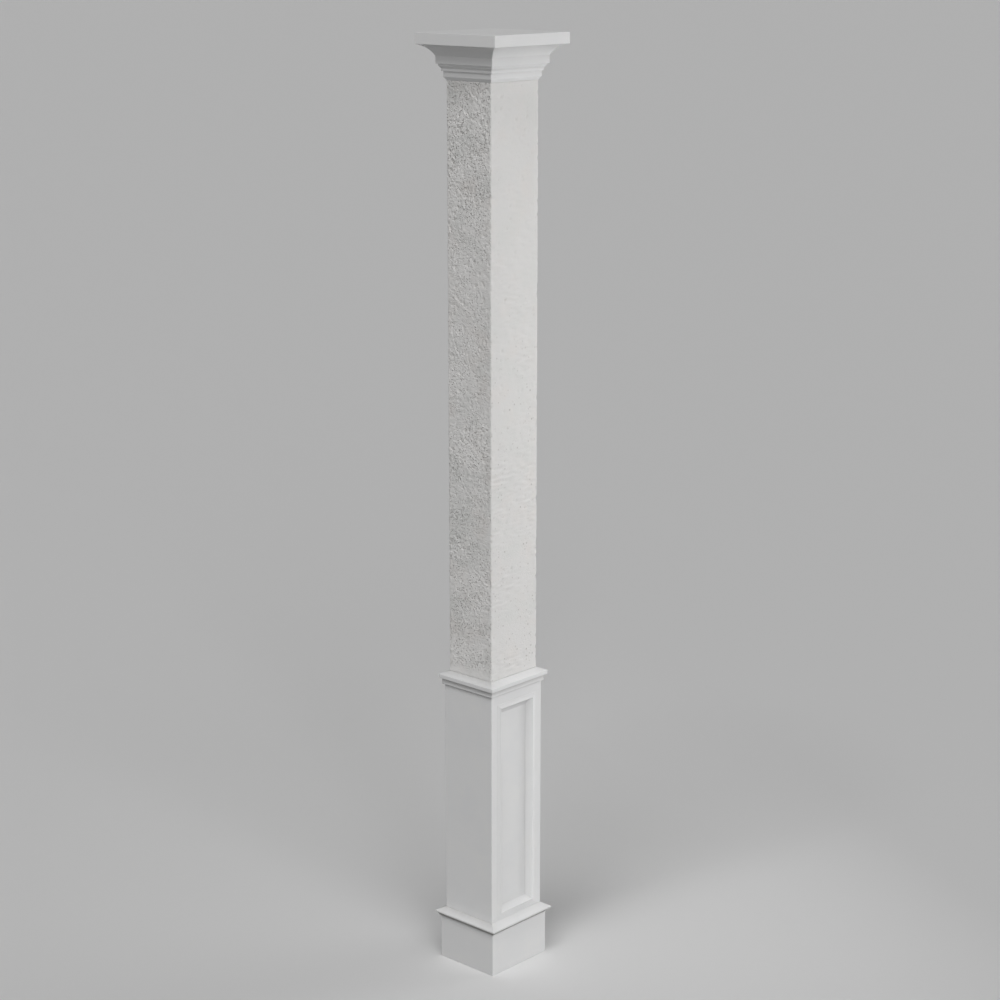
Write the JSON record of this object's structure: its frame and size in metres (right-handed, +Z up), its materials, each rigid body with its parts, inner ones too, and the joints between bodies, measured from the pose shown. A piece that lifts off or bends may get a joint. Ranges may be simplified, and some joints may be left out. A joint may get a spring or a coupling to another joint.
{
  "type": "square column",
  "caption": "Square-cornered porch column: moulded base, panelled pedestal with a belt cap, rough-plastered shaft, and a coved capital under a flat abacus that carries a beam.",
  "frame": {"origin": "centre of the underside of the plinth", "axes": "+Z up the column, -Y out of the panelled front face, X across the front"},
  "size_m": [0.305, 0.297, 2.745],
  "materials": {
    "white_paint": "smooth joinery, painted white, satin",
    "rough_plaster": "trowelled rough plaster, off-white, matt"
  },
  "bodies": {
    "root": {"plinth": "white_paint", "plinth_cap": "white_paint", "pedestal": "white_paint", "panel_moulding": "white_paint", "pedestal_cap": "white_paint", "shaft": "rough_plaster", "capital": "white_paint", "abacus": "white_paint"}
  },
  "joints": []
}
